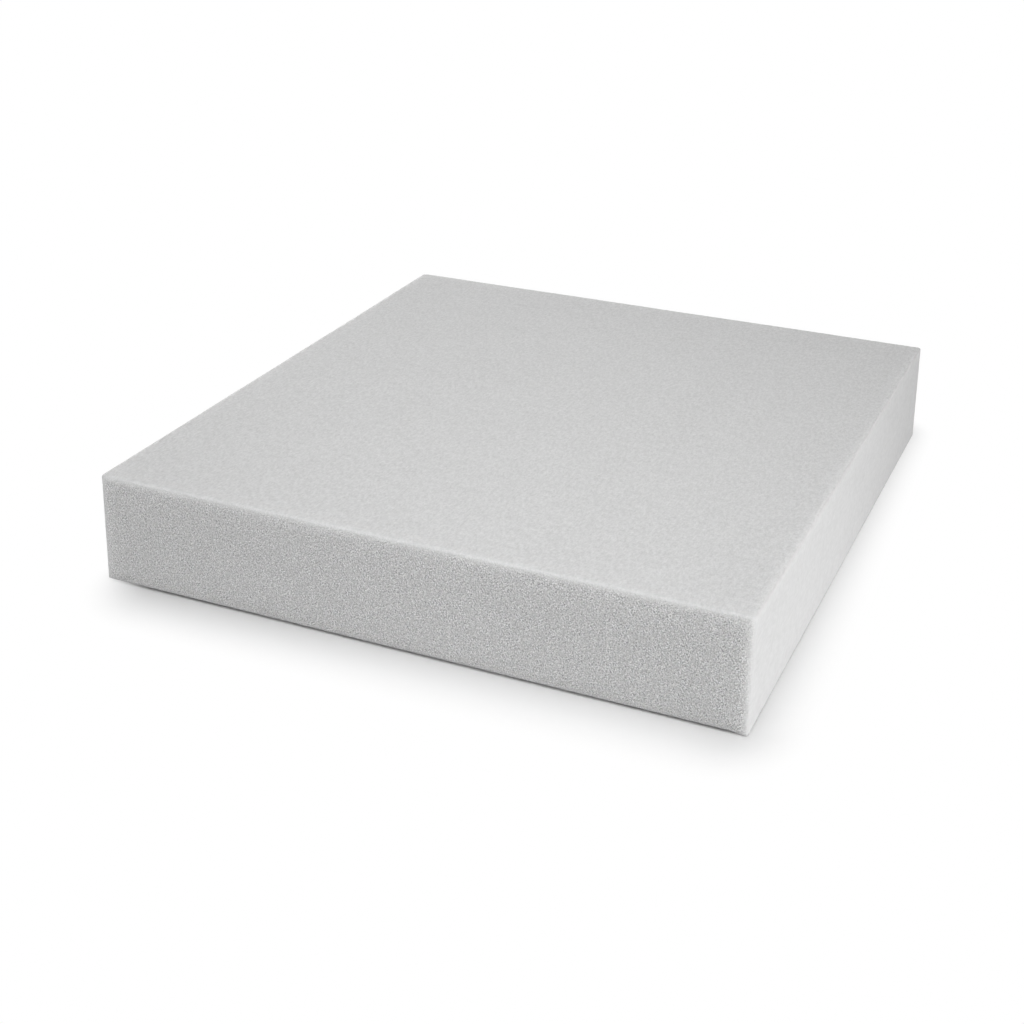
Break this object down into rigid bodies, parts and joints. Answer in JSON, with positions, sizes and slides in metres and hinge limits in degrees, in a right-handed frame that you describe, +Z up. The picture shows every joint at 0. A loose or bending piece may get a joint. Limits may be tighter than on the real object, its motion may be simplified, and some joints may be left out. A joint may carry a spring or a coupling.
{
  "type": "foam block",
  "caption": "Thick square block of open-cell upholstery foam with cut faces and slightly softened edges.",
  "frame": {"origin": "centre of the broad face that the block rests on", "axes": "+Z up through the block's thickness, front face towards -Y, width along X and depth along Y"},
  "size_m": [0.6, 0.62, 0.104],
  "materials": {
    "foam": "matte open-cell polyurethane foam, saw cut"
  },
  "bodies": {
    "root": {"foam_block": "foam"}
  },
  "joints": []
}
